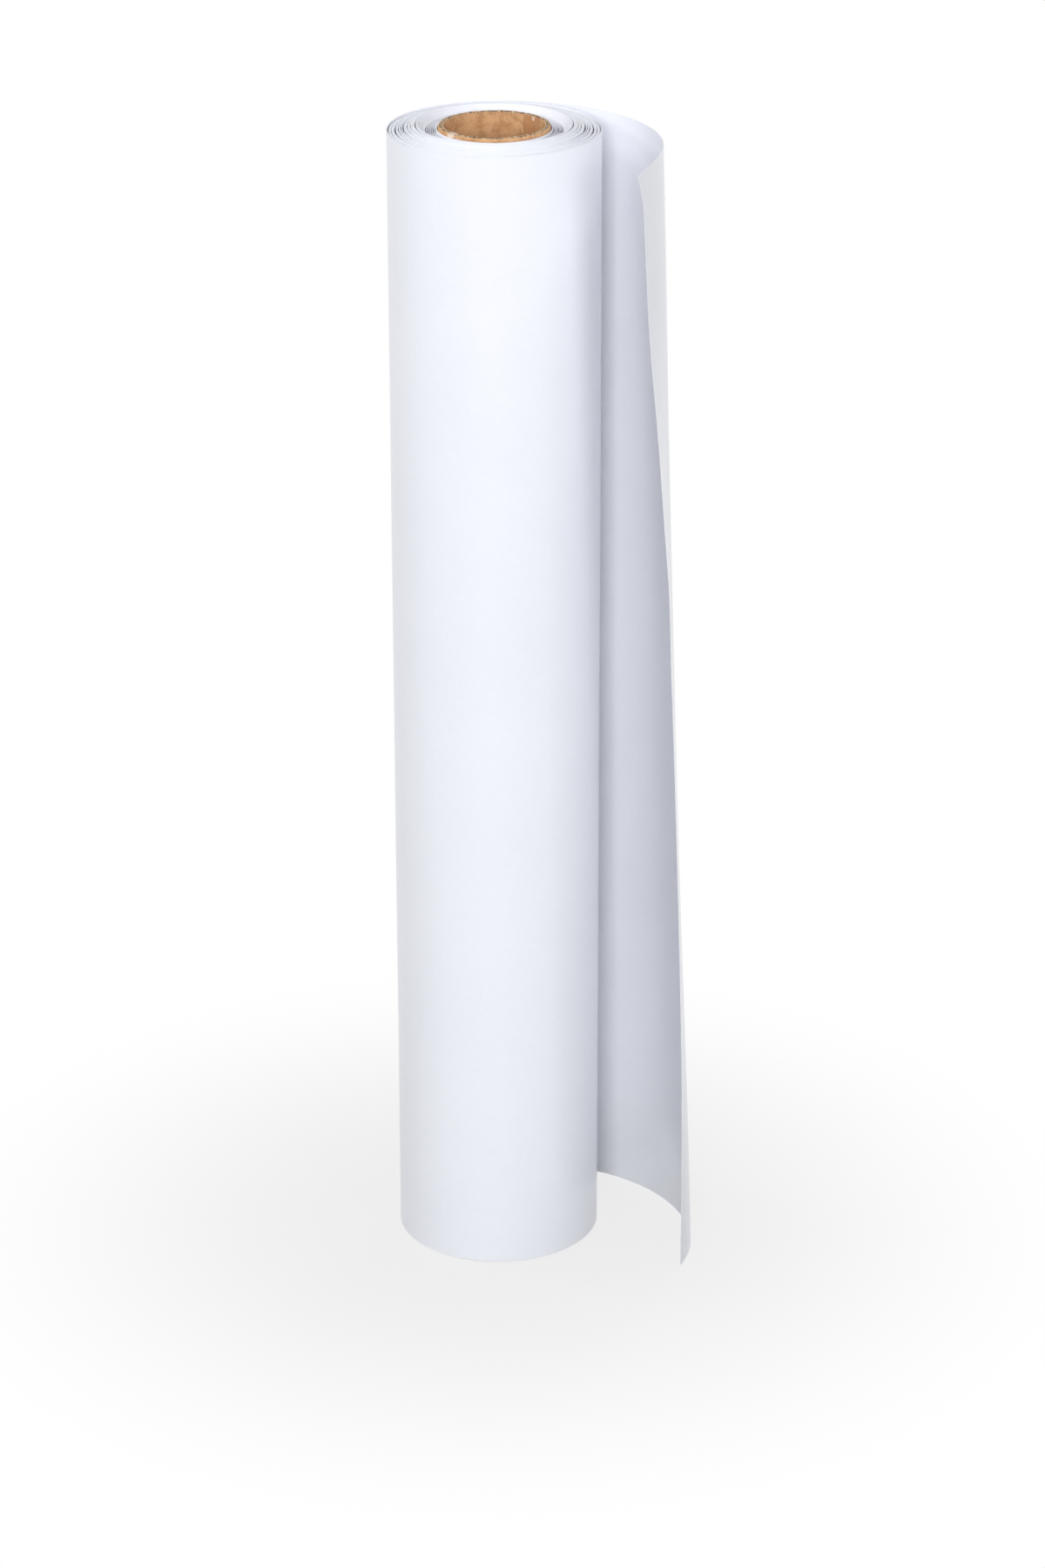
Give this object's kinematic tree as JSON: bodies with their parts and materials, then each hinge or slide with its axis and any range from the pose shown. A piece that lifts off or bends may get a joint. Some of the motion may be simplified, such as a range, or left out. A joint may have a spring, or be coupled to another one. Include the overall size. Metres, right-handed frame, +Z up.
{
  "type": "backdrop paper roll",
  "caption": "Roll of white background paper on a cardboard core, standing on end, with a loose outer turn whose tail peels and curls away.",
  "frame": {"origin": "on the roll's axis, at the level of the surface that the roll stands on", "axes": "+Z up along the roll's axis, +X to the side that the tail hangs on, -Y towards the viewer of the picture"},
  "size_m": [0.1578, 0.1406, 0.6135],
  "materials": {
    "kraft": "matte",
    "paper": "satin",
    "tape": "satin"
  },
  "bodies": {
    "roll": {"core_liner_ply": "kraft", "core_inner_ply": "kraft", "core_middle_ply": "kraft", "core_outer_ply": "kraft", "start_tape": "tape", "winding": "paper"},
    "loose_turn": {"outer_turn": "paper"},
    "tail_root": {"tail_root": "paper"},
    "tail_end": {"tail_end": "paper"}
  },
  "joints": [
    {"name": "unwind", "type": "hinge", "parent": "roll", "child": "loose_turn", "pos_m": [0, 0, 0], "axis": [0, 0, 1], "continuous": true},
    {"name": "peel", "type": "hinge", "parent": "loose_turn", "child": "tail_root", "pos_m": [-0.02846, 0.04555, 0], "axis": [0, 0, 1], "range_deg": [0, 40], "stiffness_Nm_per_rad": 0.016},
    {"name": "curl", "type": "hinge", "parent": "tail_root", "child": "tail_end", "pos_m": [0.07797, 0.03309, 0], "axis": [-0.0114, -0.0323, 0.9994], "range_deg": [-25, 35], "stiffness_Nm_per_rad": 0.016}
  ]
}
